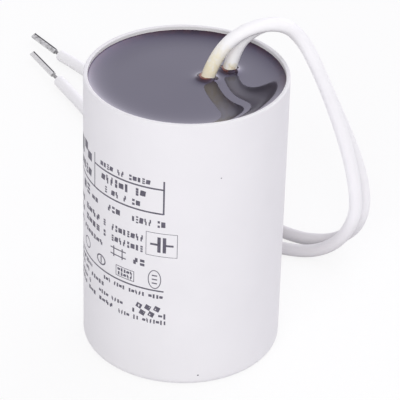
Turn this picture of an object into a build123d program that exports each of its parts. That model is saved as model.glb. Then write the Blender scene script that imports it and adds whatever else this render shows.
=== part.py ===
from build123d import *
import os
from math import asin, cos, pi, radians, sin, tan

# Motor capacitor in a round moulded can, potted with resin, with two loose leads.
# Millimetres. Origin: centre of the can's foot, +Z up, leads falling on the +X +Y side.

# Can: an injection-moulded cup, drafted inside, standing on a ring
CAN_DIAMETER = 45.0
CAN_HEIGHT = 67.5
WALL_AT_RIM = 0.95
WALL_AT_FOOT = 1.35
FLOOR_THICKNESS = 1.7
FOOT_RADIUS = 1.5
INNER_FOOT_RADIUS = 1.2
RIM_OUTER_RADIUS = 0.3
RIM_INNER_RADIUS = 0.25
STANDING_RING_WIDTH = 3.2
UNDERSIDE_RECESS = 0.4
RECESS_SLOPE_WIDTH = 0.5
GATE_MARK_DIAMETER = 2.4
GATE_MARK_HEIGHT = 0.25

# Ribs on the can's floor, which hold the winding up while the resin is poured
RIB_COUNT = 3
RIB_HEIGHT = 2.4
RIB_WIDTH = 1.2
RIB_INNER_RADIUS = 9.0
RIB_OUTER_RADIUS = 18.5
FIRST_RIB_ANGLE = 30.0

# Potting resin: a pool with a climbing edge at the wall and a collar round each lead
RESIN_BELOW_RIM = 2.0
MENISCUS_RISE = 1.1
MENISCUS_WIDTH = 3.8
COLLAR_WIDTH = 1.0
COLLAR_RISE = 0.8
COLLAR_SINK = 0.05
COLLAR_ROOT = 1.0
COLLAR_BITE = 0.3

# Film winding on its core tube, with a sprayed metal contact on each end
RESIN_JACKET = 1.15
RESIN_OVER_WINDING = 6.8
CORE_OUTER_DIAMETER = 8.0
CORE_INNER_DIAMETER = 6.0
CONTACT_THICKNESS = 0.5

# Leads: stranded wire in an extruded sleeve, stripped at the free end. The pressed bar leans
# about its own length, and each stripped end is turned about Z from its sleeve's last run
INSULATION_DIAMETER = 3.1
CONDUCTOR_DIAMETER = 1.5
STRAND_CLEARANCE = 0.05
NECK_DIAMETER = 0.95
NECK_LENGTH_A = 3.9
NECK_LENGTH_B = 2.6
NECK_ROOT = 0.3
BAR_WIDTH = 1.6
BAR_THICKNESS = 0.8
BAR_LEAN = 30.0
BAR_EDGE_BREAK = 0.1
STRIPPED_LENGTH_A = 17.4
STRIPPED_LENGTH_B = 14.0
TIP_TURN_A = 1.0
TIP_TURN_B = -6.5

# Where the conductors end inside: lead A passes down the core to the lower contact
LINK_END_X = -9.5
LINK_SOLDER_X = -7.8
LINK_GAP = 0.1
LINK_BEND_RADIUS = 2.5
CORE_EXIT_DEPTH = 0.8
STRAIGHT_BELOW_SLEEVE = 1.2
SOLDER_BASE_RADIUS = 2.8
SOLDER_HEIGHT = 1.8

# Lead routes, point by point: the arch is given from the rim's plane, the fall from the
# surface the can stands on, and what lies on that surface has only x and y
LEAD_A_ARCH = [(3.4, 0.8, -5.5), (5.1, 1.9, 1.4), (10.3, 3.7, 7.9), (18.2, 7.9, 8.8),
               (24.4, 12.2, 4.3), (31.0, 16.0, -10.6)]
LEAD_A_FALL = [(38.0, 21.0, 35.5), (41.0, 25.0, 19.5), (40.3, 27.5, 12.0), (37.5, 29.3, 5.5)]
LEAD_A_FLOOR = [(31.8, 30.7), (23.5, 32.0), (11.5, 38.0), (-4.5, 54.0), (-16.0, 75.5),
                (-26.5, 96.7), (-34.6, 112.0)]
LEAD_B_ARCH = [(8.8, 4.4, -5.0), (9.6, 6.3, 2.4), (14.8, 9.3, 6.9), (21.0, 13.8, 5.6),
               (26.0, 17.2, -0.4), (31.5, 20.6, -14.0)]
LEAD_B_FALL = [(39.7, 25.5, 33.0), (43.1, 29.0, 19.5), (42.8, 31.5, 10.5), (39.8, 34.0, 4.5)]
LEAD_B_FLOOR = [(34.3, 35.7), (26.5, 37.5), (14.5, 48.0), (2.0, 64.5), (-10.5, 88.0),
                (-20.5, 110.6), (-35.1, 126.4)]
BEND_SHARE = 0.45

# Worked out from the sizes above
CAN_RADIUS = CAN_DIAMETER / 2
RESIN_LEVEL = CAN_HEIGHT - RESIN_BELOW_RIM
CONTACT_BASE = FLOOR_THICKNESS + RIB_HEIGHT
WINDING_BASE = CONTACT_BASE + CONTACT_THICKNESS
CONTACT_TOP = RESIN_LEVEL - RESIN_OVER_WINDING
WINDING_TOP = CONTACT_TOP - CONTACT_THICKNESS
WINDING_RADIUS = CAN_RADIUS - WALL_AT_FOOT - RESIN_JACKET
INSULATION_RADIUS = INSULATION_DIAMETER / 2
CONDUCTOR_RADIUS = CONDUCTOR_DIAMETER / 2


def bore_radius(z):
    """Inner radius of the drafted wall at height z."""
    share = (z - FLOOR_THICKNESS) / (CAN_HEIGHT - FLOOR_THICKNESS)
    wall = WALL_AT_FOOT + (WALL_AT_RIM - WALL_AT_FOOT) * share
    return CAN_RADIUS - wall


def turned(section):
    """Solid of revolution from a section drawn as radius and height."""
    return revolve(Plane.XZ * section, axis=Axis.Z)


def round_corner(section, corner, radius):
    """Round the corner of a flat section that lies nearest the given point."""
    vertex = section.vertices().sort_by_distance(corner)[0]
    return fillet(vertex, radius)


def ring(outer_radius, inner_radius, base, top):
    """Plain tube about the axis between two heights."""
    height = top - base
    body = Cylinder(outer_radius, height) - Cylinder(inner_radius, height)
    return Pos(0, 0, base + height / 2) * body


def floor_ribs():
    """Radial ribs that stand on the can's floor."""
    length = RIB_OUTER_RADIUS - RIB_INNER_RADIUS
    middle = (RIB_OUTER_RADIUS + RIB_INNER_RADIUS) / 2
    rib = Pos(middle, 0, FLOOR_THICKNESS + RIB_HEIGHT / 2) * Box(length, RIB_WIDTH, RIB_HEIGHT)
    turns = [FIRST_RIB_ANGLE + i * 360 / RIB_COUNT for i in range(RIB_COUNT)]
    return [Rot(0, 0, turn) * rib for turn in turns]


def moulded_can():
    """Cup with a rounded foot and rim, a recessed underside and floor ribs."""
    ring_edge = CAN_RADIUS - FOOT_RADIUS - STANDING_RING_WIDTH
    outline = [
        (0, UNDERSIDE_RECESS),
        (ring_edge - RECESS_SLOPE_WIDTH, UNDERSIDE_RECESS),
        (ring_edge, 0),
        (CAN_RADIUS, 0),
        (CAN_RADIUS, CAN_HEIGHT),
        (bore_radius(CAN_HEIGHT), CAN_HEIGHT),
        (bore_radius(FLOOR_THICKNESS), FLOOR_THICKNESS),
        (0, FLOOR_THICKNESS),
    ]
    section = make_face(Polyline(*outline, close=True))
    section = round_corner(section, (CAN_RADIUS, 0), FOOT_RADIUS)
    section = round_corner(section, (CAN_RADIUS, CAN_HEIGHT), RIM_OUTER_RADIUS)
    section = round_corner(section, (bore_radius(CAN_HEIGHT), CAN_HEIGHT), RIM_INNER_RADIUS)
    section = round_corner(section, (bore_radius(FLOOR_THICKNESS), FLOOR_THICKNESS), INNER_FOOT_RADIUS)
    can = turned(section)
    for rib in floor_ribs():
        can += rib
    gate_base = UNDERSIDE_RECESS - GATE_MARK_HEIGHT
    gate_mark = Pos(0, 0, gate_base + GATE_MARK_HEIGHT / 2) * Cylinder(GATE_MARK_DIAMETER / 2, GATE_MARK_HEIGHT)
    return can + gate_mark


def climbing_edge(foot, top):
    """Arc of resin that leaves the pool level at its foot and steepens to its top."""
    reach = top[0] - foot[0]
    rise = top[1] - foot[1]
    arc_radius = (reach ** 2 + rise ** 2) / (2 * rise)
    half_turn = asin(abs(reach) / arc_radius) / 2
    outward = reach / abs(reach)
    middle = (
        foot[0] + outward * arc_radius * sin(half_turn),
        foot[1] + arc_radius * (1 - cos(half_turn)),
    )
    return ThreePointArc(foot, middle, top)


def resin_pool():
    """All the room in the can up to the poured surface, with its edge climbing the wall."""
    edge_height = RESIN_LEVEL + MENISCUS_RISE
    edge = (bore_radius(edge_height), edge_height)
    flat_end = (edge[0] - MENISCUS_WIDTH, RESIN_LEVEL)
    bottom_corner = (bore_radius(FLOOR_THICKNESS), FLOOR_THICKNESS)
    lines = [
        Line((0, RESIN_LEVEL), (0, FLOOR_THICKNESS)),
        Line((0, FLOOR_THICKNESS), bottom_corner),
        Line(bottom_corner, edge),
        climbing_edge(flat_end, edge),
        Line(flat_end, (0, RESIN_LEVEL)),
    ]
    section = round_corner(make_face(Curve() + lines), bottom_corner, INNER_FOOT_RADIUS)
    return turned(section)


def film_winding():
    """The wound film, a thick ring round the core tube."""
    return ring(WINDING_RADIUS, CORE_OUTER_DIAMETER / 2, WINDING_BASE, WINDING_TOP)


def winding_core():
    """The tube that the film is wound on, flush with both contacts."""
    return ring(CORE_OUTER_DIAMETER / 2, CORE_INNER_DIAMETER / 2, CONTACT_BASE, CONTACT_TOP)


def end_contact(base):
    """Metal sprayed on one end of the winding."""
    return ring(WINDING_RADIUS, CORE_OUTER_DIAMETER / 2, base, base + CONTACT_THICKNESS)


def solder_lump(x, y, contact_height, side):
    """Low dome of solder on a contact, above it for side 1 and below it for side -1."""
    ball_radius = (SOLDER_BASE_RADIUS ** 2 + SOLDER_HEIGHT ** 2) / (2 * SOLDER_HEIGHT)
    ball = Pos(0, 0, SOLDER_HEIGHT - ball_radius) * Sphere(ball_radius)
    dome = ball & Pos(0, 0, SOLDER_HEIGHT / 2) * Box(4 * ball_radius, 4 * ball_radius, SOLDER_HEIGHT)
    if side < 0:
        dome = Rot(180, 0, 0) * dome
    return Pos(x, y, contact_height) * dome


def lead_route(arch, fall, floor):
    """Points of a lead from inside the resin to the end of its sleeve."""
    route = [Vector(x, y, CAN_HEIGHT + z) for x, y, z in arch]
    route += [Vector(x, y, z) for x, y, z in fall]
    route += [Vector(x, y, INSULATION_RADIUS) for x, y in floor]
    return route


def bend_radii(route):
    """Bend at each inner point, as large as the two runs beside it allow."""
    radii = []
    for before, point, after in zip(route, route[1:], route[2:]):
        arriving = point - before
        leaving = after - point
        half_turn = radians(arriving.get_angle(leaving)) / 2
        radii.append(BEND_SHARE * min(arriving.length, leaving.length) / tan(half_turn))
    return radii


def swept_round(path, radius):
    """Round bar along a path."""
    start = Plane(origin=path @ 0, z_dir=path % 0)
    return sweep(start * Circle(radius), path=path)


def first_direction(route):
    """Direction in which a lead leaves the resin."""
    return (route[1] - route[0]).normalized()


def collar(route):
    """Resin drawn up round a lead where it leaves the pool, ending inside the sleeve's wall."""
    direction = first_direction(route)
    exit_point = route[0] + direction * ((RESIN_LEVEL - route[0].Z) / direction.Z)
    foot = (INSULATION_RADIUS + COLLAR_WIDTH, -COLLAR_SINK)
    top = (INSULATION_RADIUS - COLLAR_BITE, COLLAR_RISE)
    outline = [
        Line((0, -COLLAR_ROOT), (foot[0], -COLLAR_ROOT)),
        Line((foot[0], -COLLAR_ROOT), foot),
        climbing_edge(foot, top),
        Line(top, (0, COLLAR_RISE)),
        Line((0, COLLAR_RISE), (0, -COLLAR_ROOT)),
    ]
    return Pos(exit_point.X, exit_point.Y, RESIN_LEVEL) * turned(make_face(Curve() + outline))


def stripped_tip(end, direction, neck_length, stripped_length):
    """Strands drawn into a thin neck, then pressed into a flat bar that leans on one edge."""
    root = Plane(origin=end - direction * NECK_ROOT, z_dir=direction)
    neck = extrude(root * Circle(NECK_DIAMETER / 2), NECK_ROOT + neck_length + BAR_EDGE_BREAK)
    bar_length = stripped_length - neck_length
    bar = Box(bar_length, BAR_WIDTH, BAR_THICKNESS)
    bar = Rot(-BAR_LEAN, 0, 0) * chamfer(bar.edges(), BAR_EDGE_BREAK)
    middle = end + direction * (neck_length + bar_length / 2)
    return neck + Plane(origin=middle, x_dir=direction, z_dir=(0, 0, 1)) * bar


def conductor(inner_points, inner_radii, route, tip_turn, neck_length, stripped_length):
    """Bare wire from its joint inside the can, along the sleeve, to its turned, stripped tip."""
    points = inner_points + route[1:]
    radii = inner_radii + bend_radii(route)
    path = FilletPolyline(*points, radius=radii)
    wire = swept_round(path, CONDUCTOR_RADIUS)
    direction = (route[-1] - route[-2]).normalized().rotate(Axis.Z, tip_turn)
    return wire + stripped_tip(route[-1], direction, neck_length, stripped_length)


def sleeve_path(route):
    """Centre line of a sleeve: straight runs joined by tangent arcs."""
    return FilletPolyline(*route, radius=bend_radii(route))


def report_sleeve(name, route, path, envelope):
    """Print a lead's bends, and its volume against its section times its length."""
    print(name, "bend radii:", [round(radius, 1) for radius in bend_radii(route)])
    expected = pi * INSULATION_RADIUS ** 2 * path.length
    print(name, "length", round(path.length, 1), "volume ratio", round(envelope.volume / expected, 4))


def core_link_points(route):
    """Lead A inside the can: along the lower contact, up the core, over to its sleeve."""
    link_height = CONTACT_BASE - LINK_GAP - CONDUCTOR_RADIUS
    return [
        Vector(LINK_END_X, 0, link_height),
        Vector(0, 0, link_height),
        Vector(0, 0, CONTACT_TOP - CORE_EXIT_DEPTH),
        route[0] - first_direction(route) * STRAIGHT_BELOW_SLEEVE,
    ]


def contact_point(route):
    """Lead B's lower end, where its first run meets the upper contact."""
    direction = first_direction(route)
    end_tilt = CONDUCTOR_RADIUS * (1 - direction.Z ** 2) ** 0.5
    fall = (route[0].Z - CONTACT_TOP - LINK_GAP - end_tilt) / direction.Z
    return route[0] - direction * fall


def write(name, shape):
    """Write one piece to its own file."""
    export_step(shape, f"parts/{name}.step")


def main():
    os.makedirs("parts", exist_ok=True)
    route_a = lead_route(LEAD_A_ARCH, LEAD_A_FALL, LEAD_A_FLOOR)
    route_b = lead_route(LEAD_B_ARCH, LEAD_B_FALL, LEAD_B_FLOOR)
    path_a = sleeve_path(route_a)
    path_b = sleeve_path(route_b)
    envelope_a = swept_round(path_a, INSULATION_RADIUS)
    envelope_b = swept_round(path_b, INSULATION_RADIUS)
    report_sleeve("lead A", route_a, path_a, envelope_a)
    report_sleeve("lead B", route_b, path_b, envelope_b)

    bore = CONDUCTOR_RADIUS + STRAND_CLEARANCE
    sleeve_a = envelope_a - swept_round(path_a, bore)
    sleeve_b = envelope_b - swept_round(path_b, bore)
    link_radii = [LINK_BEND_RADIUS] * 3
    tip_a = (TIP_TURN_A, NECK_LENGTH_A, STRIPPED_LENGTH_A)
    tip_b = (TIP_TURN_B, NECK_LENGTH_B, STRIPPED_LENGTH_B)
    wire_a = conductor(core_link_points(route_a), link_radii, route_a, *tip_a)
    joint_b = contact_point(route_b)
    wire_b = conductor([joint_b], [], route_b, *tip_b)
    solder_a = solder_lump(LINK_SOLDER_X, 0, CONTACT_BASE, -1) - wire_a
    solder_b = solder_lump(joint_b.X, joint_b.Y, CONTACT_TOP, 1) - wire_b

    can = moulded_can()
    winding = film_winding()
    core = winding_core()
    lower_contact = end_contact(CONTACT_BASE)
    upper_contact = end_contact(WINDING_TOP)
    resin = resin_pool() + collar(route_a) + collar(route_b)
    held = floor_ribs() + [winding, core, lower_contact, upper_contact, solder_a, solder_b]
    held += [envelope_a, envelope_b, wire_a, wire_b]
    for piece in held:
        resin -= piece

    write("can", can)
    write("potting_resin", resin)
    write("film_winding", winding)
    write("winding_core", core)
    write("lower_contact", lower_contact)
    write("upper_contact", upper_contact)
    write("lower_solder", solder_a)
    write("upper_solder", solder_b)
    write("lead_a_insulation", sleeve_a)
    write("lead_b_insulation", sleeve_b)
    write("lead_a_conductor", wire_a)
    write("lead_b_conductor", wire_b)


main()
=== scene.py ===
import bpy
import math
import numpy as np
from mathutils import Euler, Matrix, Vector


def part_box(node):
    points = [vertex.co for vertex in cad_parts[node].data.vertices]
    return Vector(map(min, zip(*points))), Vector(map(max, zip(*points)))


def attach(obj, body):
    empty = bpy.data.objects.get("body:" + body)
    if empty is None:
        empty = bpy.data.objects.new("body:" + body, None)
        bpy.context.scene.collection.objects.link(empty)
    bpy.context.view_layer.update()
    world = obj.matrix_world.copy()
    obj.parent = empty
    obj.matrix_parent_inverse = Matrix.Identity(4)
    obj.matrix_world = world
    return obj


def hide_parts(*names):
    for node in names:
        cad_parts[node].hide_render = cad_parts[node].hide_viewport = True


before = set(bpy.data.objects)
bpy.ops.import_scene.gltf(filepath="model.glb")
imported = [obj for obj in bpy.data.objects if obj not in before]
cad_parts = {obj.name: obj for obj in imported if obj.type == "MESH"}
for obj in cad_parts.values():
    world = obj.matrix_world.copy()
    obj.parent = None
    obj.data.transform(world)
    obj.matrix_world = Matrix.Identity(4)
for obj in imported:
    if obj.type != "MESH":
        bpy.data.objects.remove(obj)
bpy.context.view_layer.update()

# Metres, in the part's own frame: origin at the centre of the can's foot, +Z up, the
# photograph seen from -Y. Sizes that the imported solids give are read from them.
MM = 0.001
CAN_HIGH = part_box("can")[1]
CAN_RADIUS = CAN_HIGH.x
RIM = CAN_HIGH.z
RESIN_LOW, RESIN_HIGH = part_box("potting_resin")
BORE_RADIUS = RESIN_HIGH.x
CAN_FLOOR = RESIN_LOW.z
RESIN_LEVEL = RIM - 2.0 * MM
WINDING_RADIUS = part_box("film_winding")[1].x
CONTACT_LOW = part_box("lower_contact")[0].z
CONTACT_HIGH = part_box("upper_contact")[1].z

# Camera, worked out from the ellipses of the can's rim and foot in the photograph
PHOTO_SIZE = 400
SENSOR_WIDTH = 36.0
FOCAL_LENGTH_PX = 2351.56
CAMERA_DISTANCE = 527.02 * MM
CAMERA_ELEVATION = 0.5644
CAMERA_ROLL = 0.0247
CAMERA_TARGET = Vector((0, 0, 34.03 * MM))
OPTICAL_CENTRE_PX = (183.757, 203.535)
CLIP_START = 0.01
CLIP_END = 10

# Leads: control points in millimetres, the arch from the rim's plane and the rest from the floor
SLEEVE_RADIUS = 1.55 * MM
CORD_ORDER = 3
CORD_STEPS = 16
CORD_BEVEL_STEPS = 8
LEAD_A_ARCH = [(3.4, 0.8, -5.5), (5.1, 1.9, 1.4), (10.3, 3.7, 7.9), (18.2, 7.9, 8.8),
               (24.4, 12.2, 4.3), (31.0, 16.0, -10.6)]
LEAD_A_FALL = [(38.0, 21.0, 35.5), (41.0, 25.0, 19.5), (40.3, 27.5, 12.0), (37.5, 29.3, 5.5)]
LEAD_A_FLOOR = [(31.8, 30.7), (23.5, 32.0), (11.5, 38.0), (-4.5, 54.0), (-16.0, 75.5),
                (-26.5, 96.7), (-34.6, 112.0)]
LEAD_B_ARCH = [(8.8, 4.4, -5.0), (9.6, 6.3, 2.4), (14.8, 9.3, 6.9), (21.0, 13.8, 5.6),
               (26.0, 17.2, -0.4), (31.5, 20.6, -14.0)]
LEAD_B_FALL = [(39.7, 25.5, 33.0), (43.1, 29.0, 19.5), (42.8, 31.5, 10.5), (39.8, 34.0, 4.5)]
LEAD_B_FLOOR = [(34.3, 35.7), (26.5, 37.5), (14.5, 48.0), (2.0, 64.5), (-10.5, 88.0),
                (-20.5, 110.6), (-35.1, 126.4)]

# Stripped ends: a thin neck, then strands pressed into a flat bar that leans on one edge
STRIPPED_A = 17.26 * MM
STRIPPED_B = 13.86 * MM
NECK_LENGTH_A = 3.9 * MM
NECK_LENGTH_B = 2.6 * MM
TIP_TURN_A = math.radians(1.0)
TIP_TURN_B = math.radians(-6.5)
WIRE_RADIUS = 0.72 * MM
NECK_RADIUS = 0.475 * MM
NECK_START = -1.2 * MM
NECK_FULL = 0.2 * MM
SHOULDER = 0.2 * MM
BAR_HALF_WIDTH = 0.8 * MM
BAR_HALF_THICKNESS = 0.4 * MM
BAR_LEAN = math.radians(30)
BAR_CORNER_POWER = 8
END_BREAK = 0.08 * MM
END_SHARE = 0.88

# Relief of the strands in the neck, and of the pressed lines and the seam in the bar's faces
STRAND_RIDGES = 11
STRAND_RELIEF = 0.06 * MM
BUNDLE_TWIST = 420.0
BAR_LINES = 7
LINE_DEPTH = 0.018 * MM
SEAM_PLACE = 0.7
SEAM_HALF_WIDTH = 0.28
SEAM_DEPTH = 0.16 * MM
FACE_START = 0.6
FACE_FULL = 0.95

# Rings of a conductor's mesh
RING_POINTS = 96
NECK_STEPS = 8
NECK_STEPS_END = 0.6 * MM
SHOULDER_PLACES = (-0.3, -0.2, -0.12, -0.04, 0.04, 0.12, 0.2, 0.4)
BAR_STEPS = 24
CONDUCTOR_SHARP = math.radians(50)

# Lead A's link under the lower contact and up the core tube, and lead B's joint in the resin
LINK_DROP = 0.85 * MM
LINK_REACH = 9.5 * MM
LINK_BEND = 2.5 * MM
LINK_STEPS = 8
LINK_TOP = 3 * MM
JOINT_DROP = 3.8 * MM

# Potting resin: how far its edge climbs, over what distance the climb dies away, and the
# faint waves of its surface
WALL_RISE = 1.1 * MM
WALL_REACH = 1.9 * MM
LEAD_RISE = 0.85 * MM
LEAD_REACH = 0.6 * MM
WAVE_HEIGHT = 0.006 * MM
WAVE_X = 3.1 * MM
WAVE_Y = 2.7 * MM
WAVE_DIAGONAL = 4.3 * MM

# Its thin brown film: in a narrow band at the wall, fading inwards from there, and at each lead
WALL_BAND = 0.26 * MM
WALL_BAND_FILM = 0.3
WALL_FILM = 0.55
WALL_FILM_REACH = 0.9 * MM
LEAD_FILM_REACH = 0.3 * MM

# Where its glassy skin is worn: at the leads, and at the wall towards one side
LEAD_WEAR = 0.8
DULL_WEAR = 0.85
DULL_REACH = 1.5 * MM
DULL_SIDE = (0.85, 0.53)

# Its body in the can, and the hollow that the winding takes
TURN_STEPS = 256
POOL_RINGS = 110
POOL_EDGE = 1.5 * MM
POOL_EDGE_RINGS = 40
RESIN_DRAFT = 0.385 * MM
RESIN_FOOT_RADIUS = 1.2 * MM
RESIN_FOOT_STEPS = 6
RESIN_EDGE_DEPTH = 1 * MM
RESIN_EDGE_GAP = 0.02 * MM
CORE_RADIUS = 3.0 * MM
HOLLOW_STEPS = 128
RESIN_SHARP = math.radians(40)

# Print on the can: ink 0.01 mm proud of the wall, its place moved by millimetres of arc and
# height, and how much of its room a mark fills
INK_HEIGHT = 0.010 * MM
INK_SINK = 0.03 * MM
INK_STEP = 0.5 * MM
PRINT_SHIFT = (-0.16, 0.09)
CELL_FILL = 0.93
MITRE_LIMIT = 0.4
OVAL_POINTS = 28


def join_bodies(*bodies):
    """One list of vertices and faces from several."""
    vertices = []
    faces = []
    for body_vertices, body_faces in bodies:
        base = len(vertices)
        vertices += body_vertices
        faces += [[base + i for i in face] for face in body_faces]
    return vertices, faces


def add_piece(name, vertices, faces, material, smooth=True):
    """Mesh object that rides on the part, with its finish."""
    mesh = bpy.data.meshes.new(name)
    mesh.from_pydata([tuple(v) for v in vertices], [], faces)
    mesh.validate()
    if smooth:
        mesh.shade_smooth()
    else:
        mesh.shade_flat()
    mesh.materials.append(material)
    piece = bpy.data.objects.new(name, mesh)
    bpy.context.scene.collection.objects.link(piece)
    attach(piece, "root")
    return piece


def add_values(piece, label, values):
    """One number at each vertex, for the finish to read."""
    attribute = piece.data.attributes.new(label, "FLOAT", "POINT")
    attribute.data.foreach_set("value", values)


def round_points(radius, height, steps):
    """Points round the axis at one radius and height."""
    turns = [2 * math.pi * k / steps for k in range(steps)]
    return [Vector((radius * math.cos(t), radius * math.sin(t), height)) for t in turns]


# Node helpers for the materials
def new_material(name):
    """Empty node material with one Principled shader, and the parts needed to build on it."""
    material = bpy.data.materials.new(name)
    material.use_nodes = True
    shader = material.node_tree.nodes["Principled BSDF"]
    return material, material.node_tree, shader


def add_node(tree, kind, **settings):
    """Node of one kind; settings that are inputs by name are set as inputs."""
    node = tree.nodes.new(kind)
    for key, value in settings.items():
        if hasattr(node, key):
            setattr(node, key, value)
        else:
            node.inputs[key.replace("_", " ")].default_value = value
    return node


def set_shader(shader, **settings):
    """Plain numbers and colours on the shader's own sockets."""
    for key, value in settings.items():
        shader.inputs[key.replace("_", " ")].default_value = value


def object_position(tree):
    """Place of the shaded point in the part's frame."""
    return add_node(tree, "ShaderNodeTexCoord").outputs["Object"]


def stored_value(tree, label):
    """Number stored at the vertices."""
    return add_node(tree, "ShaderNodeAttribute", attribute_name=label).outputs["Fac"]


def split_vector(tree, vector):
    """The X, Y and Z of a vector."""
    node = add_node(tree, "ShaderNodeSeparateXYZ")
    tree.links.new(vector, node.inputs["Vector"])
    return [node.outputs[axis] for axis in "XYZ"]


def noise(tree, scale, detail=2.0, roughness=0.5):
    """Soft noise over the object, scale in cycles per metre."""
    node = add_node(tree, "ShaderNodeTexNoise", Scale=scale, Detail=detail, Roughness=roughness)
    tree.links.new(object_position(tree), node.inputs["Vector"])
    return node.outputs["Fac"]


def mapped(tree, value, low, high, out_low, out_high):
    """Value carried from one range to another, held at the ends."""
    node = add_node(tree, "ShaderNodeMapRange")
    tree.links.new(value, node.inputs["Value"])
    names = ("From Min", "From Max", "To Min", "To Max")
    for key, number in zip(names, (low, high, out_low, out_high)):
        node.inputs[key].default_value = number
    return node.outputs["Result"]


def combined(tree, operation, first, second):
    """Two values joined by one operation; the second is a socket or a plain number."""
    node = add_node(tree, "ShaderNodeMath", operation=operation)
    tree.links.new(first, node.inputs[0])
    if isinstance(second, float):
        node.inputs[1].default_value = second
    else:
        tree.links.new(second, node.inputs[1])
    return node.outputs["Value"]


def colour_ramp(tree, value, stops):
    """Colour by value, from (place, colour) pairs."""
    node = add_node(tree, "ShaderNodeValToRGB")
    ramp = node.color_ramp
    while len(ramp.elements) < len(stops):
        ramp.elements.new(0.5)
    for element, (place, colour) in zip(ramp.elements, stops):
        element.position = place
        element.color = (*colour, 1)
    tree.links.new(value, node.inputs["Fac"])
    return node.outputs["Color"]


def mix_colours(tree, share, first, second):
    """The first colour at share 0, the second at 1; each is a socket or a plain colour."""
    node = add_node(tree, "ShaderNodeMix", data_type="RGBA")
    tree.links.new(share, node.inputs["Factor"])
    for socket, colour in zip((node.inputs[6], node.inputs[7]), (first, second)):
        if isinstance(colour, tuple):
            socket.default_value = colour
        else:
            tree.links.new(colour, socket)
    return node.outputs[2]


def add_bump(tree, shader, value, strength, distance):
    """Fine relief from a value."""
    node = add_node(tree, "ShaderNodeBump", Strength=strength, Distance=distance)
    tree.links.new(value, node.inputs["Height"])
    tree.links.new(node.outputs["Normal"], shader.inputs["Normal"])


# Camera
def make_camera():
    """Camera at the photograph's place, angle, roll and framing."""
    data = bpy.data.cameras.new("camera")
    data.sensor_width = SENSOR_WIDTH
    data.lens = FOCAL_LENGTH_PX * SENSOR_WIDTH / PHOTO_SIZE
    data.shift_x = (PHOTO_SIZE / 2 - OPTICAL_CENTRE_PX[0]) / PHOTO_SIZE
    data.shift_y = (OPTICAL_CENTRE_PX[1] - PHOTO_SIZE / 2) / PHOTO_SIZE
    data.clip_start = CLIP_START
    data.clip_end = CLIP_END
    camera = bpy.data.objects.new("camera", data)
    tilt = Euler((math.pi / 2 - CAMERA_ELEVATION, 0, 0)).to_matrix().to_4x4()
    backward = Vector((0, -math.cos(CAMERA_ELEVATION), math.sin(CAMERA_ELEVATION)))
    place = Matrix.Translation(CAMERA_TARGET + backward * CAMERA_DISTANCE)
    camera.matrix_world = place @ tilt @ Matrix.Rotation(CAMERA_ROLL, 4, "Z")
    bpy.context.scene.collection.objects.link(camera)
    bpy.context.scene.camera = camera


# Leads
def lead_route(arch, fall, floor):
    """A lead's points, the arch given from the rim's plane and the rest from the floor."""
    route = [Vector((x * MM, y * MM, RIM + z * MM)) for x, y, z in arch]
    route += [Vector((x * MM, y * MM, z * MM)) for x, y, z in fall]
    route += [Vector((x * MM, y * MM, SLEEVE_RADIUS)) for x, y in floor]
    return route


def spline_curve(name, points, bevel):
    """Curve object of one open NURBS spline with these control points."""
    curve = bpy.data.curves.new(name, "CURVE")
    curve.dimensions = "3D"
    spline = curve.splines.new("NURBS")
    spline.points.add(len(points) - 1)
    for control, point in zip(spline.points, points):
        control.co = (*point, 1)
    spline.order_u = CORD_ORDER
    spline.use_endpoint_u = True
    spline.resolution_u = CORD_STEPS
    spline.use_smooth = True
    curve.bevel_depth = bevel
    curve.bevel_resolution = CORD_BEVEL_STEPS
    curve.use_fill_caps = bevel > 0
    lead = bpy.data.objects.new(name, curve)
    bpy.context.scene.collection.objects.link(lead)
    return lead


def lead_line(route):
    """Points read along a route's NURBS spline."""
    guide = spline_curve("guide", route, 0)
    mesh = bpy.data.meshes.new_from_object(guide)
    points = [v.co.copy() for v in mesh.vertices]
    bpy.data.objects.remove(guide)
    bpy.data.meshes.remove(mesh)
    return points


def resin_exit(route):
    """Where a lead's first run passes the resin's level."""
    direction = (route[1] - route[0]).normalized()
    return route[0] + direction * ((RESIN_LEVEL - route[0].z) / direction.z)


def make_sleeve(name, node, route, material):
    """White sleeve of a lead, as one bevelled curve."""
    sleeve = spline_curve(name, route, SLEEVE_RADIUS)
    sleeve.data.materials.append(material)
    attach(sleeve, "root")
    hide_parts(node)


def smooth_step(value, low, high):
    """0 below low, 1 above high, smooth between."""
    share = min(max((value - low) / (high - low), 0), 1)
    return share * share * (3 - 2 * share)


def section_point(turn, along, neck_length):
    """Place of a point round the conductor, across its width and its thickness, and how deep
    it lies in the seam or between strands, which sets its painted shade. along is the distance from the
    sleeve's end, below zero inside it."""
    to_neck = smooth_step(along, NECK_START, NECK_FULL)
    to_bar = smooth_step(along, neck_length - SHOULDER, neck_length + SHOULDER)
    round_radius = WIRE_RADIUS + (NECK_RADIUS - WIRE_RADIUS) * to_neck
    strand = 0.5 - 0.5 * math.cos(STRAND_RIDGES * turn + BUNDLE_TWIST * along)
    round_radius -= STRAND_RELIEF * (1 - to_bar) * to_neck * strand
    half_width = round_radius + (BAR_HALF_WIDTH - round_radius) * to_bar
    half_thickness = round_radius + (BAR_HALF_THICKNESS - round_radius) * to_bar
    power = 2 + (BAR_CORNER_POWER - 2) * to_bar
    c = math.cos(turn)
    s = math.sin(turn)
    scale = (abs(c) ** power + abs(s) ** power) ** (-1 / power)
    width = half_width * c * scale
    thickness = half_thickness * s * scale
    share = width / half_width
    on_face = smooth_step(abs(thickness) / half_thickness, FACE_START, FACE_FULL)
    line = 0.5 - 0.5 * math.cos(math.pi * BAR_LINES * (share + 1))
    seam = max(0.0, 1 - abs(share - SEAM_PLACE) / SEAM_HALF_WIDTH) if s > 0 else 0.0
    depth = to_bar * on_face * (LINE_DEPTH * line + SEAM_DEPTH * seam)
    thickness -= math.copysign(depth, thickness)
    return width, thickness, max(to_bar * on_face * seam, (1 - to_bar) * to_neck * strand)


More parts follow.
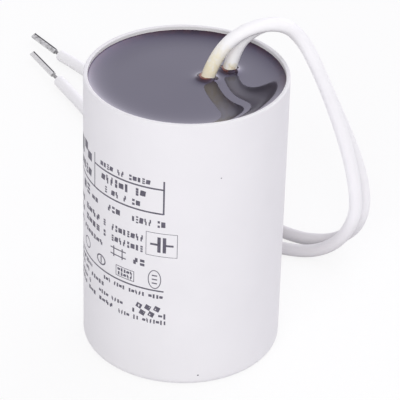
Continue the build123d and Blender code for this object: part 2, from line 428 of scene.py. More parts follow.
def conductor_stations(inner_points, route, tip_turn, neck_length, stripped):
    """Points along a conductor, each with its distance from the sleeve's end. The last one
    lies past a broken edge."""
    sleeve_points = lead_line(route)
    end = sleeve_points[-1]
    direction = Matrix.Rotation(tip_turn, 3, "Z") @ (route[-1] - route[-2]).normalized()
    inside = inner_points + sleeve_points
    neck = neck_length - NECK_STEPS_END
    places = [neck * i / NECK_STEPS for i in range(1, NECK_STEPS + 1)]
    places += [neck_length + place * MM for place in SHOULDER_PLACES]
    bar_start = places[-1]
    bar = stripped - bar_start
    places += [bar_start + bar * i / BAR_STEPS for i in range(1, BAR_STEPS + 1)]
    places.append(stripped + END_BREAK)
    stations = [(point, -(point - end).length) for point in inside[:-1]] + [(end, 0.0)]
    return stations + [(end + direction * place, place) for place in places]


def bar_axes(tangent):
    """Directions of a conductor's width and thickness at a point, leant onto one edge."""
    side = tangent.cross(Vector((0, 0, 1)))
    side = side.normalized() if side.length > 0.05 else Vector((1, 0, 0))
    up = side.cross(tangent).normalized()
    across = side * math.cos(BAR_LEAN) + up * math.sin(BAR_LEAN)
    out = up * math.cos(BAR_LEAN) - side * math.sin(BAR_LEAN)
    return across, out


def conductor_body(stations, neck_length):
    """Closed mesh of a conductor, and how deep each vertex lies in the seam or between strands, for its
    painted shade.
    """
    last = len(stations) - 1
    vertices = []
    shade = []
    for i, (point, along) in enumerate(stations):
        before = stations[max(i - 1, 0)][0]
        after = stations[min(i + 1, last)][0]
        across, out = bar_axes((after - before).normalized())
        share = END_SHARE if i == last else 1
        for k in range(RING_POINTS):
            turn = 2 * math.pi * k / RING_POINTS
            width, thickness, seam = section_point(turn, along, neck_length)
            vertices.append(point + (across * width + out * thickness) * share)
            shade.append(seam)
    faces = []
    for i in range(last):
        for k in range(RING_POINTS):
            a = i * RING_POINTS + k
            b = i * RING_POINTS + (k + 1) % RING_POINTS
            faces.append([a, b, b + RING_POINTS, a + RING_POINTS])
    faces.append(list(range(RING_POINTS))[::-1])
    faces.append([last * RING_POINTS + k for k in range(RING_POINTS)])
    return vertices, faces, shade


def make_conductor(name, node, inner_points, route, tip, material):
    """Bare conductor of a lead, from its joint inside the can to its pressed end. tip holds
    the end's turn, the neck's length and the stripped length."""
    tip_turn, neck_length, stripped = tip
    stations = conductor_stations(inner_points, route, tip_turn, neck_length, stripped)
    vertices, faces, shade = conductor_body(stations, neck_length)
    conductor = add_piece(name, vertices, faces, material)
    # Painted shade, deep in the seam and between the strands, for the finish to read
    add_values(conductor, "seam", shade)
    conductor.data.set_sharp_from_angle(angle=CONDUCTOR_SHARP)
    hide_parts(node)
    return conductor


def inner_link():
    """Lead A inside the can: along the lower contact, then up the core tube."""
    height = CONTACT_LOW - LINK_DROP
    points = [Vector((-LINK_REACH, 0, height)), Vector((-LINK_BEND, 0, height))]
    for i in range(1, LINK_STEPS):
        turn = i * math.pi / 2 / LINK_STEPS
        x = -LINK_BEND + LINK_BEND * math.sin(turn)
        rise = LINK_BEND - LINK_BEND * math.cos(turn)
        points.append(Vector((x, 0, height + rise)))
    points.append(Vector((0, 0, height + LINK_BEND)))
    points.append(Vector((0, 0, CONTACT_HIGH - LINK_TOP)))
    return points


# Potting resin
def line_distance(x, y, route):
    """Distance of points on the pool from a lead's first run."""
    start = np.array(route[0])
    direction = np.array((route[1] - route[0]).normalized())
    offset = np.stack([x - start[0], y - start[1], np.full_like(x, RESIN_LEVEL - start[2])], -1)
    along = offset @ direction
    return np.linalg.norm(offset - along[..., None] * direction, axis=-1)


def pool_surface(x, y, routes):
    """Height of the poured surface, how thin its film is over what it has climbed, and how much
    of its glassy skin is left there."""
    to_wall = BORE_RADIUS - np.hypot(x, y)
    height = WALL_RISE * np.exp(-to_wall / WALL_REACH)
    band = np.clip(1.2 - to_wall / WALL_BAND, 0, 1)
    film = np.maximum(WALL_BAND_FILM * band, WALL_FILM * np.exp(-to_wall / WALL_FILM_REACH))
    bared = np.zeros_like(to_wall)
    for route in routes:
        gap = np.maximum(line_distance(x, y, route) - SLEEVE_RADIUS, 0)
        height += LEAD_RISE * np.exp(-gap / LEAD_REACH)
        bared = np.maximum(bared, np.exp(-gap / LEAD_FILM_REACH))
    film = np.maximum(film, bared)
    wave = np.sin(x / WAVE_X + 0.8) * np.sin(y / WAVE_Y + 2.1)
    wave += 0.6 * np.sin((x + y) / WAVE_DIAGONAL + 0.3)
    height += WAVE_HEIGHT * wave
    to_dull_side = np.clip((DULL_SIDE[0] * x + DULL_SIDE[1] * y) / BORE_RADIUS, 0, 1)
    dull = DULL_WEAR * to_dull_side * np.exp(-to_wall / DULL_REACH)
    worn = np.maximum(np.maximum(band, dull), LEAD_WEAR * bared)
    return RESIN_LEVEL + height, film, 1 - worn


def pool_places():
    """Places of the pool's vertices from its centre out, the rings closer near the wall."""
    inner = BORE_RADIUS - POOL_EDGE
    middle = inner * np.arange(1, POOL_RINGS + 1) / POOL_RINGS
    edge = inner + POOL_EDGE * np.arange(1, POOL_EDGE_RINGS + 1) / POOL_EDGE_RINGS
    radii = np.concatenate([middle, edge])
    turns = 2 * np.pi * np.arange(TURN_STEPS) / TURN_STEPS
    x = radii[:, None] * np.cos(turns)
    y = radii[:, None] * np.sin(turns)
    return np.append(0.0, x.ravel()), np.append(0.0, y.ravel())


def resin_side():
    """Radius and height of the rings below the pool: the draft, then the rounded foot."""
    foot_radius = BORE_RADIUS - RESIN_DRAFT
    foot_top = CAN_FLOOR + RESIN_FOOT_RADIUS
    side = [(BORE_RADIUS - RESIN_EDGE_GAP, RESIN_LEVEL - RESIN_EDGE_DEPTH), (foot_radius, foot_top)]
    for i in range(1, RESIN_FOOT_STEPS + 1):
        turn = i * math.pi / 2 / RESIN_FOOT_STEPS
        radius = foot_radius - RESIN_FOOT_RADIUS * (1 - math.cos(turn))
        side.append((radius, CAN_FLOOR + RESIN_FOOT_RADIUS * (1 - math.sin(turn))))
    return side


def stacked_faces(rings):
    """Faces of a closed body: its first vertex, then rings one below the other, then its last."""
    faces = []
    last = 1 + rings * TURN_STEPS
    base = last - TURN_STEPS
    for k in range(TURN_STEPS):
        following = (k + 1) % TURN_STEPS
        faces.append([0, 1 + k, 1 + following])
        for i in range(rings - 1):
            a = 1 + i * TURN_STEPS + k
            b = 1 + i * TURN_STEPS + following
            faces.append([a, a + TURN_STEPS, b + TURN_STEPS, b])
        faces.append([base + k, last, base + following])
    return faces


def winding_hollow():
    """Hollow left for the winding and its contacts: its faces look inward."""
    corners = [
        (CORE_RADIUS, CONTACT_LOW), (WINDING_RADIUS, CONTACT_LOW),
        (WINDING_RADIUS, CONTACT_HIGH), (CORE_RADIUS, CONTACT_HIGH),
    ]
    vertices = []
    for radius, height in corners:
        vertices += round_points(radius, height, HOLLOW_STEPS)
    faces = []
    for i in range(4):
        for k in range(HOLLOW_STEPS):
            a = i * HOLLOW_STEPS + k
            b = i * HOLLOW_STEPS + (k + 1) % HOLLOW_STEPS
            c = ((i + 1) % 4) * HOLLOW_STEPS + (k + 1) % HOLLOW_STEPS
            d = ((i + 1) % 4) * HOLLOW_STEPS + k
            faces.append([a, d, c, b])
    return vertices, faces


def make_resin(routes, material):
    """Resin that fills the can, with its poured surface and the room that the winding takes."""
    x, y = pool_places()
    height, film, skin = pool_surface(x, y, routes)
    vertices = [Vector(point) for point in zip(x, y, height)]
    side = resin_side()
    for radius, level in side:
        vertices += round_points(radius, level, TURN_STEPS)
    vertices.append(Vector((0, 0, CAN_FLOOR)))
    faces = stacked_faces(POOL_RINGS + POOL_EDGE_RINGS + len(side))
    vertices, faces = join_bodies((vertices, faces), winding_hollow())
    resin = add_piece("resin", vertices, faces, material)
    hidden = len(vertices) - len(x)
    add_values(resin, "film", [*film] + [0.0] * hidden)
    add_values(resin, "skin", [*skin] + [1.0] * hidden)
    resin.data.set_sharp_from_angle(angle=RESIN_SHARP)
    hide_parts("potting_resin")


# Print, drawn as strokes on the unrolled wall: arc from the front, positive to the right,
# and height, both in millimetres
ink_bodies = []


def wall_point(arc, height, proud):
    """Point on the can's wall, that far proud of it."""
    turn = (arc + PRINT_SHIFT[0]) * MM / CAN_RADIUS - math.pi / 2
    radius = CAN_RADIUS + proud
    return Vector((radius * math.cos(turn), radius * math.sin(turn), (height + PRINT_SHIFT[1]) * MM))


def ribbon_edges(points, width, closed):
    """The two edges of a ribbon along points, with square ends and mitred corners."""
    count = len(points)
    left = []
    right = []
    for i, point in enumerate(points):
        arriving = (point - points[i - 1]).normalized() if closed or i > 0 else None
        leaving = (points[(i + 1) % count] - point).normalized() if closed or i < count - 1 else None
        arriving = arriving or leaving
        leaving = leaving or arriving
        normal_in = Vector((-arriving.y, arriving.x))
        normal_out = Vector((-leaving.y, leaving.x))
        mitre = (normal_in + normal_out).normalized()
        reach = width / 2 / max(mitre.dot(normal_in), MITRE_LIMIT)
        left.append(point + mitre * reach)
        right.append(point - mitre * reach)
    return left, right


def stroke(points, width, closed=False):
    """Ribbon of ink along points, bent round the wall."""
    points = [Vector(p) for p in points]
    if not closed:
        dense = [points[0]]
        for a, b in zip(points, points[1:]):
            pieces = max(1, math.ceil(abs(b.x - a.x) * MM / INK_STEP))
            dense += [a.lerp(b, i / pieces) for i in range(1, pieces + 1)]
        points = dense
    count = len(points)
    vertices = []
    for a, b in zip(*ribbon_edges(points, width, closed)):
        vertices.append(wall_point(a.x, a.y, INK_HEIGHT))
        vertices.append(wall_point(b.x, b.y, INK_HEIGHT))
        vertices.append(wall_point(b.x, b.y, -INK_SINK))
        vertices.append(wall_point(a.x, a.y, -INK_SINK))
    faces = []
    for i in range(count if closed else count - 1):
        a = 4 * i
        b = 4 * ((i + 1) % count)
        for k in range(4):
            following = (k + 1) % 4
            faces.append([a + k, b + k, b + following, a + following])
    if not closed:
        faces.append([3, 2, 1, 0])
        last = 4 * (count - 1)
        faces.append([last, last + 1, last + 2, last + 3])
    ink_bodies.append((vertices, faces))


# Marks that fill the rows, each made of straight bars in a unit cell.
# A bar runs from one place to another, and is as thick as the row's line times its weight.
MARKS = [
    [((0.0, 0.0), (1.0, 0.0), 0.9), ((0.0, 0.5), (1.0, 0.5), 0.9), ((0.0, 1.0), (1.0, 1.0), 0.9)],
    [((0.05, 0.0), (0.05, 1.0), 1.1), ((0.5, 0.0), (0.5, 1.0), 1.1), ((0.95, 0.0), (0.95, 1.0), 1.1)],
    [((0.0, 0.25), (0.6, 0.25), 2.2), ((0.4, 0.75), (1.0, 0.75), 2.2)],
    [((-0.1, 0.0), (0.2, 1.0), 1.1), ((0.35, 0.0), (0.65, 1.0), 1.1), ((0.8, 0.0), (1.1, 1.0), 1.1)],
    [((0.0, 0.5), (1.0, 0.5), 3.0)],
    [((0.0, 0.1), (1.0, 0.1), 1.4), ((0.0, 0.9), (1.0, 0.9), 1.4)],
    [((0.0, 0.75), (0.6, 0.75), 2.2), ((0.4, 0.25), (1.0, 0.25), 2.2)],
]
MARK_STRIDE = 3


def mark_row(start, end, low, high, groups, width, first):
    """Row of marks between two arcs, in groups with a gap between them. first picks the row's
    first mark."""
    cells = sum(groups) + len(groups) - 1
    pitch = (end - start) / cells
    inset = width / 2
    place = 0
    shape = first
    for group in groups:
        for _ in range(group):
            cell_start = start + place * pitch + inset
            cell_width = CELL_FILL * pitch - width
            for begin, finish, weight in MARKS[shape % len(MARKS)]:
                points = [
                    (cell_start + u * cell_width, low + inset + v * (high - low - width))
                    for u, v in (begin, finish)
                ]
                stroke(points, width * weight)
            place += 1
            shape += MARK_STRIDE
        place += 1


def oval(arc, height, half_width, half_height, width):
    """Closed round or oval line."""
    turns = [2 * math.pi * i / OVAL_POINTS for i in range(OVAL_POINTS)]
    outline = [(arc + half_width * math.cos(t), height + half_height * math.sin(t)) for t in turns]
    stroke(outline, width, closed=True)


def frame_line(start, end, low, high, width):
    """Closed rectangle."""
    outline = [(start, low), (end, low), (end, high), (start, high)]
    dense = []
    for a, b in zip(outline, outline[1:] + outline[:1]):
        pieces = max(1, round(abs(b[0] - a[0])))
        for i in range(pieces):
            share = i / pieces
            dense.append((a[0] + (b[0] - a[0]) * share, a[1] + (b[1] - a[1]) * share))
    stroke(dense, width, closed=True)


def block(start, end, low, high):
    """Solid field."""
    middle = (low + high) / 2
    stroke([(start, middle), (end, middle)], high - low)


def print_upper_frame():
    """Frame with three rows, open at the top, and what stands left of it."""
    stroke([(-23.3, 53.7), (-23.3, 45.0)], 0.27)
    stroke([(-4.1, 53.2), (-4.1, 44.9)], 0.38)
    stroke([(-23.3, 51.1), (-4.2, 51.1)], 0.38)
    stroke([(-38.0, 45.0), (-4.1, 45.0)], 0.38)
    mark_row(-20.9, -7.1, 51.75, 53.15, (4, 2, 5), 0.37, 1)
    mark_row(-20.5, -8.1, 48.35, 50.3, (6, 2), 0.65, 3)
    mark_row(-19.4, -9.4, 45.75, 47.35, (1, 2, 1, 2), 0.4, 0)
    block(-33.0, -30.4, 49.6, 53.4)
    block(-29.4, -27.2, 51.9, 54.0)
    block(-27.0, -24.8, 50.4, 52.4)
    mark_row(-36.0, -24.8, 46.2, 48.6, (6,), 0.65, 2)


def print_ratings():
    """Rows below the frame, and a capacitor's circuit symbol in a square."""
    mark_row(-30.3, -25.4, 41.3, 43.9, (2,), 0.65, 4)
    mark_row(-24.6, -21.7, 41.3, 42.6, (2,), 0.37, 1)
    mark_row(-18.4, -14.5, 41.5, 43.2, (3,), 0.41, 2)
    mark_row(-11.6, -3.6, 41.4, 43.2, (5, 2), 0.41, 4)
    for low, first in ((37.1, 0), (34.35, 5)):
        mark_row(-33.4, -20.9, low, low + 1.55, (2, 4), 0.47, first + 1)
        mark_row(-19.9, -18.7, low, low + 1.6, (1,), 0.47, first)
        mark_row(-17.2, -8.4, low - 0.05, low + 1.6, (8,), 0.48, first + 2)
    mark_row(-33.4, -19.9, 31.4, 32.6, (2, 7), 0.35, 3)
    frame_line(-7.95, -1.0, 34.1, 40.0, 0.12)
    stroke([(-7.0, 37.05), (-5.15, 37.05)], 0.5)
    stroke([(-5.0, 35.1), (-5.0, 39.0)], 0.75)
    stroke([(-3.8, 35.1), (-3.8, 39.0)], 0.75)
    stroke([(-3.65, 37.05), (-1.8, 37.05)], 0.5)


def print_symbols():
    """Line of small symbols above the lower rule, and the rule itself."""
    for arc in (-16.3, -13.9):
        stroke([(arc, 30.5), (arc, 33.3)], 0.28)
    for height in (31.1, 32.7):
        stroke([(-17.3, height), (-12.9, height)], 0.28)
    mark_row(-11.2, -7.9, 30.7, 32.4, (2,), 0.47, 2)
    frame_line(-15.6, -10.8, 26.0, 28.6, 0.16)
    mark_row(-15.2, -11.1, 27.4, 28.3, (5,), 0.3, 1)
    mark_row(-15.2, -11.1, 26.3, 27.2, (5,), 0.3, 4)
    oval(-20.6, 27.45, 1.45, 1.15, 0.34)
    stroke([(-20.6, 26.6), (-20.6, 28.3)], 0.34)
    oval(-27.2, 28.3, 1.5, 1.3, 0.26)
    oval(-5.9, 27.9, 1.42, 2.35, 0.2)
    for height in (26.9, 27.9, 28.9):
        stroke([(-6.5, height), (-5.3, height)], 0.3)
    stroke([(-38.0, 25.0), (-3.8, 25.0)], 0.36)


def print_lower_rows():
    """Rows below the lower rule, with one heavy mark."""
    mark_row(-19.7, -3.9, 22.95, 23.95, (3, 4, 5, 4), 0.35, 0)
    mark_row(-34.0, -24.4, 22.9, 24.0, (5,), 0.35, 3)
    mark_row(-34.0, -19.4, 20.9, 21.95, (4, 2, 5), 0.35, 5)
    mark_row(-34.0, -25.1, 18.5, 19.5, (6, 1), 0.35, 2)
    mark_row(-21.4, -13.6, 18.7, 19.65, (4, 4), 0.35, 1)
    mark_row(-34.0, -16.4, 16.6, 17.6, (5, 3, 4), 0.35, 4)
    mark_row(-15.0, -3.0, 16.2, 17.2, (4, 2, 7), 0.4, 6)
    for arc in (-9.7, -7.6, -5.5):
        stroke([(arc, 19.55), (arc + 0.5, 20.75)], 1.3)
    for arc in (-8.9, -6.8):
        stroke([(arc, 17.9), (arc + 0.5, 19.1)], 1.3)
    mark_row(-11.3, -10.3, 18.0, 19.0, (1,), 0.47, 5)
    mark_row(-4.9, -3.0, 17.9, 18.9, (2,), 0.47, 1)


def print_specks():
    """Two stray specks, near the foot and below the rim."""
    stroke([(4.1, 2.68), (4.45, 2.68)], 0.3)
    stroke([(8.05, 53.87), (8.3, 53.87)], 0.22)


def make_print(material):
    """All the ink on the can, as one piece."""
    print_upper_frame()
    print_ratings()
    print_symbols()
    print_lower_rows()
    print_specks()
    vertices, faces = join_bodies(*ink_bodies)
    add_piece("can_print", vertices, faces, material, smooth=False)


# Colours of the materials: pairs run from the noise's low end to its high end, and stops are
# (place, colour) pairs
CAN_TINTS = [(0.3, (0.808, 0.80, 0.81)), (0.7, (0.828, 0.82, 0.83))]
INK_TINTS = [(0.3, (0.075, 0.07, 0.095)), (0.75, (0.14, 0.13, 0.17))]
RESIN_AMBER = [
    (0.0, (0.006, 0.004, 0.008)), (0.22, (0.035, 0.014, 0.014)), (0.6, (0.05, 0.017, 0.010)),
    (0.82, (0.17, 0.055, 0.024)), (1.0, (0.33, 0.15, 0.07)),
]
RESIN_DARK = [(0.0, (0.006, 0.004, 0.008)), (0.3, (0.02, 0.010, 0.010)), (1.0, (0.03, 0.014, 0.008))]
RESIN_SHEEN = (0.47, 0.38, 1.0, 1)
RESIN_IOR = 1.6
TIN_A = [(0.35, (0.81, 0.81, 0.79)), (0.62, (0.90, 0.90, 0.88))]
TIN_B = [(0.35, (0.44, 0.44, 0.43)), (0.62, (0.84, 0.84, 0.83))]
# Painted shade in the bar's seam and between the neck's strands
TIN_SEAM_SHADE = (0.07, 0.065, 0.07, 1)

# Sleeves: their white, the stain above the resin by distance, the gloss that ends with it,
# the painted shade that greys them below, brown as a stain on lead A near the resin, and the painted
# shadow where they lie on the floor
SLEEVE_WHITE = (0.955, 0.95, 0.95)
STAIN_START = 1.0 * MM
STAIN_END = 13.0 * MM
STAIN_RAGGEDNESS = 6.0 * MM
STAIN_A = [
    (0.0, (0.08, 0.03, 0.02)), (0.19, (0.30, 0.12, 0.045)), (0.26, (0.86, 0.79, 0.62)),
    (0.45, (0.91, 0.83, 0.60)), (0.7, (0.92, 0.87, 0.72)), (0.95, SLEEVE_WHITE),
]
STAIN_B = [
    (0.0, (0.10, 0.04, 0.02)), (0.2, (0.34, 0.14, 0.05)), (0.28, (0.80, 0.75, 0.60)),
    (0.38, SLEEVE_WHITE),
]
GLOSS_END = 9 * MM
SATIN_START = 12 * MM
GLOSSY = 0.14
SATIN = 0.34
# Painted shade: grey on the sleeves' undersides, by how far a surface faces down; on lead A near the
# resin that underside colour is a brown stain instead
SLEEVE_SHADE_GREY = (0.42, 0.39, 0.40, 1)
UNDERSIDE_STAIN = (0.98, 0.72, 0.60, 1)
UNDERSIDE_SHADE_SHARE = 0.6
UNDERSIDE_STAIN_END = 10 * MM
UNDERSIDE_SHADE_START = 14 * MM
# Painted shadow of the can on the sleeves where they lie on the floor: strongest low down and to the
# right, in the loop
LOOP_SHADOW_BOTTOM = 3 * MM
LOOP_SHADOW_TOP = 15 * MM
LOOP_SHADOW_LEFT = -20 * MM
LOOP_SHADOW_RIGHT = 20 * MM
LOOP_SHADOW_LEAST = 0.03
LOOP_SHADOW_MOST = 0.42


def can_material():
    """Off-white moulded plastic, satin, with a fine grain."""
    material, tree, shader = new_material("can_plastic_look")
    set_shader(shader, IOR=1.49, Specular_IOR_Level=0.45)
    tree.links.new(colour_ramp(tree, noise(tree, 90, 3), CAN_TINTS), shader.inputs["Base Color"])
    tree.links.new(mapped(tree, noise(tree, 900), 0.3, 0.7, 0.36, 0.46), shader.inputs["Roughness"])
    add_bump(tree, shader, noise(tree, 2600, 3, 0.6), 0.12, 0.03 * MM)
    return material


def ink_material():
    """Grey-violet ink, thin in places."""
    material, tree, shader = new_material("can_ink_look")
    tree.links.new(colour_ramp(tree, noise(tree, 1400, 2), INK_TINTS), shader.inputs["Base Color"])
    set_shader(shader, Roughness=0.5)
    return material


def ragged_distance(tree, centre):
    """Distance from a point, uneven as a stain's edge is."""
    distance = add_node(tree, "ShaderNodeVectorMath", operation="DISTANCE")
    tree.links.new(object_position(tree), distance.inputs[0])
    distance.inputs[1].default_value = centre
    ragged = add_node(tree, "ShaderNodeMath", operation="MULTIPLY_ADD")
    tree.links.new(noise(tree, 420, 3, 0.6), ragged.inputs[0])
    ragged.inputs[1].default_value = STAIN_RAGGEDNESS
    tree.links.new(distance.outputs["Value"], ragged.inputs[2])
    return ragged.outputs["Value"]


def underside(tree):
    """How far a surface faces down, which sets the painted underside shade: 0 on the sides, 1 below."""
    normal = add_node(tree, "ShaderNodeTexCoord").outputs["Normal"]
    return mapped(tree, split_vector(tree, normal)[2], -0.95, -0.3, 1, 0)


def with_painted_shade(tree, base, colour_below):
    """A sleeve's colour with painted shade below, and greyed by a painted shadow where it lies on the
    floor, most of all in the loop."""
    # Painted shade on the underside, by how far the surface faces down
    below = mapped(tree, underside(tree), 0, 1, 0, UNDERSIDE_SHADE_SHARE)
    base = mix_colours(tree, below, base, colour_below)
    x, _, z = split_vector(tree, object_position(tree))
    # Painted shadow of the can, low down and strongest to the right where the loop lies
    low = mapped(tree, z, LOOP_SHADOW_BOTTOM, LOOP_SHADOW_TOP, 1, 0)
    along = mapped(tree, x, LOOP_SHADOW_LEFT, LOOP_SHADOW_RIGHT, LOOP_SHADOW_LEAST, LOOP_SHADOW_MOST)
    return mix_colours(tree, combined(tree, "MULTIPLY", low, along), base, SLEEVE_SHADE_GREY)


def stained_sleeve_material(route):
    """Lead A's sleeve, cream up to a centimetre above the resin, amber at the pool, its underside brown
    as a stain near the resin and greyed by painted shade further on."""
    material, tree, shader = new_material("lead_a_sleeve_look")
    set_shader(shader, IOR=1.5)
    reach = ragged_distance(tree, resin_exit(route))
    share = mapped(tree, reach, STAIN_START, STAIN_END, 0, 1)
    worn = mapped(tree, noise(tree, 780, 3, 0.65), 0.5, 0.68, 0, 0.6)
    stain = mix_colours(tree, worn, colour_ramp(tree, share, STAIN_A), (*SLEEVE_WHITE, 1))
    # Underside colour: a brown stain near the resin, then the grey of painted shade
    past_stain = mapped(tree, reach, UNDERSIDE_STAIN_END, UNDERSIDE_SHADE_START, 0, 1)
    underside_colour = mix_colours(tree, past_stain, UNDERSIDE_STAIN, SLEEVE_SHADE_GREY)
    tree.links.new(with_painted_shade(tree, stain, underside_colour), shader.inputs["Base Color"])
    roughness = mapped(tree, reach, GLOSS_END, SATIN_START, GLOSSY, SATIN)
    tree.links.new(roughness, shader.inputs["Roughness"])
    add_bump(tree, shader, noise(tree, 700, 2), 0.1, 0.05 * MM)
    return material


def clean_sleeve_material(route):
    """Lead B's sleeve, with a brown line where it leaves the resin, and painted shade below and where
    it lies on the floor.
    """
    material, tree, shader = new_material("lead_b_sleeve_look")
    set_shader(shader, IOR=1.5, Roughness=0.28)
    reach = ragged_distance(tree, resin_exit(route))
    share = mapped(tree, reach, STAIN_START, STAIN_END, 0, 1)
    base = with_painted_shade(tree, colour_ramp(tree, share, STAIN_B), SLEEVE_SHADE_GREY)
    tree.links.new(base, shader.inputs["Base Color"])
    add_bump(tree, shader, noise(tree, 700, 2), 0.1, 0.05 * MM)
    return material


def resin_material():
    """Dark cast resin with a glassy skin, brown to amber in patches where it is a thin film."""
    material, tree, shader = new_material("resin_look")
    film = stored_value(tree, "film")
    skin = stored_value(tree, "skin")
    patches = mapped(tree, noise(tree, 520, 2), 0.38, 0.53, 0, 1)
    dark = colour_ramp(tree, film, RESIN_DARK)
    amber = colour_ramp(tree, film, RESIN_AMBER)
    tree.links.new(mix_colours(tree, patches, dark, amber), shader.inputs["Base Color"])
    set_shader(shader, IOR=RESIN_IOR, Specular_Tint=RESIN_SHEEN)
    set_shader(shader, Coat_IOR=RESIN_IOR, Coat_Roughness=0.02)
    tree.links.new(skin, shader.inputs["Coat Weight"])
    tree.links.new(mapped(tree, skin, 0, 1, 0.45, 0.03), shader.inputs["Roughness"])
    return material


def tin_material(name, tints):
    """Tinned and pressed copper strands: bright grey metal, mottled, with painted shade in its seam and
    between its strands.
    """
    material, tree, shader = new_material(name)
    base = colour_ramp(tree, noise(tree, 1100, 3), tints)
    # Painted shade where the seam value is high
    dark = mapped(tree, stored_value(tree, "seam"), 0.05, 0.5, 0, 1)
    tree.links.new(mix_colours(tree, dark, base, TIN_SEAM_SHADE), shader.inputs["Base Color"])
    tree.links.new(mapped(tree, noise(tree, 2600), 0.3, 0.7, 0.28, 0.42), shader.inputs["Roughness"])
    set_shader(shader, Metallic=0.45)
    add_bump(tree, shader, noise(tree, 4200, 2), 0.2, 0.02 * MM)
    return material


def layered_material(name, low_colour, high_colour, roughness, metallic, ring_scale=0):
    """Finish of an inner piece: rings about the axis for what is wound, else a soft mottle."""
    material, tree, shader = new_material(name)
    if ring_scale:
        wave = add_node(
            tree, "ShaderNodeTexWave", wave_type="RINGS", rings_direction="Z", Scale=ring_scale
        )
        tree.links.new(object_position(tree), wave.inputs["Vector"])
        value = wave.outputs["Fac"]
    else:
        value = noise(tree, 1200, 3, 0.6)
    base = colour_ramp(tree, value, [(0.2, low_colour), (0.8, high_colour)])
    tree.links.new(base, shader.inputs["Base Color"])
    set_shader(shader, Roughness=roughness, Metallic=metallic)
    add_bump(tree, shader, value, 0.3, 0.03 * MM)
    return material


def dress(node, material):
    """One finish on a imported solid."""
    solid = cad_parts[node]
    solid.data.materials.clear()
    solid.data.materials.append(material)


def dress_inner_pieces():
    """Finishes for the solids that the resin hides."""
    film = layered_material("film_look", (0.55, 0.55, 0.58), (0.72, 0.72, 0.75), 0.3, 0.8, 900)
    core = layered_material("core_look", (0.62, 0.58, 0.50), (0.72, 0.68, 0.60), 0.5, 0.0)
    zinc = layered_material("zinc_look", (0.38, 0.39, 0.41), (0.60, 0.61, 0.63), 0.75, 0.9)
    solder = layered_material("solder_look", (0.60, 0.60, 0.62), (0.80, 0.80, 0.82), 0.25, 1.0)
    finishes = {
        "film_winding": film,
        "winding_core": core,
        "lower_contact": zinc,
        "upper_contact": zinc,
        "lower_solder": solder,
        "upper_solder": solder,
    }
    for name, material in finishes.items():
        dress(name, material)


# Studio light: brightness of the backdrop's and the front's colour, against the height or the
# side of the direction, and the depth over which the front gives way to the backdrop
FRONT_COLOUR = (0.98, 0.965, 1.0, 1)
FRONT_ACROSS = [(-0.9, 0.36), (-0.2, 0.52), (0.2, 0.61), (0.9, 0.88)]
BACKDROP_COLOUR = (0.935, 0.915, 1.0, 1)
BACKDROP_BY_HEIGHT = [(0.1, 1.36), (0.54, 1.09), (0.72, 1.09), (0.83, 0.96), (1.0, 0.5)]
BACKDROP_ACROSS = [
    (-1.0, 0.75), (-0.45, 0.5), (-0.2, 0.95), (0.0, 1.0), (0.45, 1.85), (0.62, 1.15), (1.0, 1.1),
]
BACKDROP_START = -0.1
BACKDROP_FULL = 0.35
BRIGHTEST = 2.0
WHITE = (1, 1, 1, 1)

# Floor: the grey that lights the part from below, what is seen, and how much of it is plain white
FLOOR_HALF_WIDTH = 1.5
FLOOR_COLOUR = (0.68, 0.67, 0.70, 1)
FLOOR_SEEN = (0.97, 0.965, 0.97, 1)
FLOOR_WHITE = 0.82

# Lamp: wide, before the part, high up and a little to the left
LAMP_PLACE = Vector((-0.2, -1.0, 0.58))
LAMP_TARGET = Vector((0, 0, 0.03))
LAMP_SIZE = 0.8
LAMP_POWER = 7.15


def grey_ramp(tree, value, low, high, stops):
    """Plain number by value, from (value, number) pairs between low and high."""
    share = mapped(tree, value, low, high, 0, 1)
    places = [((place - low) / (high - low), (number / BRIGHTEST,) * 3) for place, number in stops]
    return combined(tree, "MULTIPLY", colour_ramp(tree, share, places), BRIGHTEST)


def make_world():
    """Studio light: an even front, and a backdrop that is brighter low down and to the right.
    Plain white to the camera."""
    world = bpy.data.worlds.new("studio")
    bpy.context.scene.world = world
    world.use_nodes = True
    tree = world.node_tree
    sky = tree.nodes["Background"]
    direction = add_node(tree, "ShaderNodeTexCoord").outputs["Generated"]
    x, y, z = split_vector(tree, direction)
    level = grey_ramp(tree, z, 0, 1, BACKDROP_BY_HEIGHT)
    across = grey_ramp(tree, x, -1, 1, BACKDROP_ACROSS)
    backdrop = combined(tree, "MULTIPLY", level, across)
    front = grey_ramp(tree, x, -1, 1, FRONT_ACROSS)
    behind = mapped(tree, y, BACKDROP_START, BACKDROP_FULL, 0, 1)
    strength = add_node(tree, "ShaderNodeMix", data_type="FLOAT")
    tree.links.new(behind, strength.inputs["Factor"])
    tree.links.new(front, strength.inputs[2])
    tree.links.new(backdrop, strength.inputs[3])
    camera_ray = add_node(tree, "ShaderNodeLightPath").outputs["Is Camera Ray"]
    shown = add_node(tree, "ShaderNodeMix", data_type="FLOAT")
    tree.links.new(camera_ray, shown.inputs["Factor"])
    tree.links.new(strength.outputs[0], shown.inputs[2])
    shown.inputs[3].default_value = 1.0
    light_colour = mix_colours(tree, behind, FRONT_COLOUR, BACKDROP_COLOUR)
    tree.links.new(mix_colours(tree, camera_ray, light_colour, WHITE), sky.inputs["Color"])
    tree.links.new(shown.outputs[0], sky.inputs["Strength"])


def sees_backdrop(tree):
    """1 for rays from the camera, mirrors and clear things, which see the floor as a backdrop."""
    path = add_node(tree, "ShaderNodeLightPath").outputs
    indirect = combined(tree, "MAXIMUM", path["Is Glossy Ray"], path["Is Transmission Ray"])
    return combined(tree, "MAXIMUM", path["Is Camera Ray"], indirect)


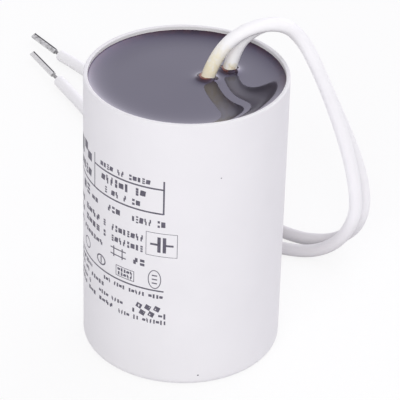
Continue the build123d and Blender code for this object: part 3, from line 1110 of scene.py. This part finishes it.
def make_floor():
    """Wide white floor that keeps a soft shadow."""
    half = FLOOR_HALF_WIDTH
    corners = [(-half, -half, 0), (half, -half, 0), (half, half, 0), (-half, half, 0)]
    mesh = bpy.data.meshes.new("floor")
    mesh.from_pydata(corners, [], [[0, 1, 2, 3]])
    material, tree, shader = new_material("floor_look")
    set_shader(shader, Roughness=0.9, Specular_IOR_Level=0.0)
    white = add_node(tree, "ShaderNodeEmission", Strength=1.0)
    seen = sees_backdrop(tree)
    tree.links.new(mix_colours(tree, seen, FLOOR_COLOUR, FLOOR_SEEN), shader.inputs["Base Color"])
    mix = add_node(tree, "ShaderNodeMixShader")
    tree.links.new(combined(tree, "MULTIPLY", seen, FLOOR_WHITE), mix.inputs["Fac"])
    tree.links.new(shader.outputs["BSDF"], mix.inputs[1])
    tree.links.new(white.outputs["Emission"], mix.inputs[2])
    tree.links.new(mix.outputs["Shader"], tree.nodes["Material Output"].inputs["Surface"])
    mesh.materials.append(material)
    floor = bpy.data.objects.new("floor", mesh)
    bpy.context.scene.collection.objects.link(floor)


def make_lamp():
    """Square soft lamp. Nothing mirrors it."""
    data = bpy.data.lights.new("front_lamp", "AREA")
    data.shape = "SQUARE"
    data.size = LAMP_SIZE
    data.energy = LAMP_POWER
    lamp = bpy.data.objects.new("front_lamp", data)
    lamp.location = LAMP_PLACE
    lamp.rotation_euler = (LAMP_TARGET - LAMP_PLACE).to_track_quat("-Z", "Y").to_euler()
    lamp.visible_glossy = False
    bpy.context.scene.collection.objects.link(lamp)


make_camera()
route_a = lead_route(LEAD_A_ARCH, LEAD_A_FALL, LEAD_A_FLOOR)
route_b = lead_route(LEAD_B_ARCH, LEAD_B_FALL, LEAD_B_FLOOR)
tin_a = tin_material("lead_a_tin_look", TIN_A)
tin_b = tin_material("lead_b_tin_look", TIN_B)
tip_a = (TIP_TURN_A, NECK_LENGTH_A, STRIPPED_A)
tip_b = (TIP_TURN_B, NECK_LENGTH_B, STRIPPED_B)
joint_b = route_b[0] - (route_b[1] - route_b[0]).normalized() * JOINT_DROP
conductor_a = make_conductor("stripped_lead_a", "lead_a_conductor", inner_link(), route_a, tip_a, tin_a)
conductor_b = make_conductor("stripped_lead_b", "lead_b_conductor", [joint_b], route_b, tip_b, tin_b)
sleeve_a_look = stained_sleeve_material(route_a)
sleeve_b_look = clean_sleeve_material(route_b)
make_sleeve("lead_a_sleeve", "lead_a_insulation", route_a, sleeve_a_look)
make_sleeve("lead_b_sleeve", "lead_b_insulation", route_b, sleeve_b_look)

dress("can", can_material())
make_resin([route_a, route_b], resin_material())
make_print(ink_material())
dress_inner_pieces()

make_floor()
make_world()
make_lamp()
bpy.context.scene.view_settings.view_transform = "Standard"
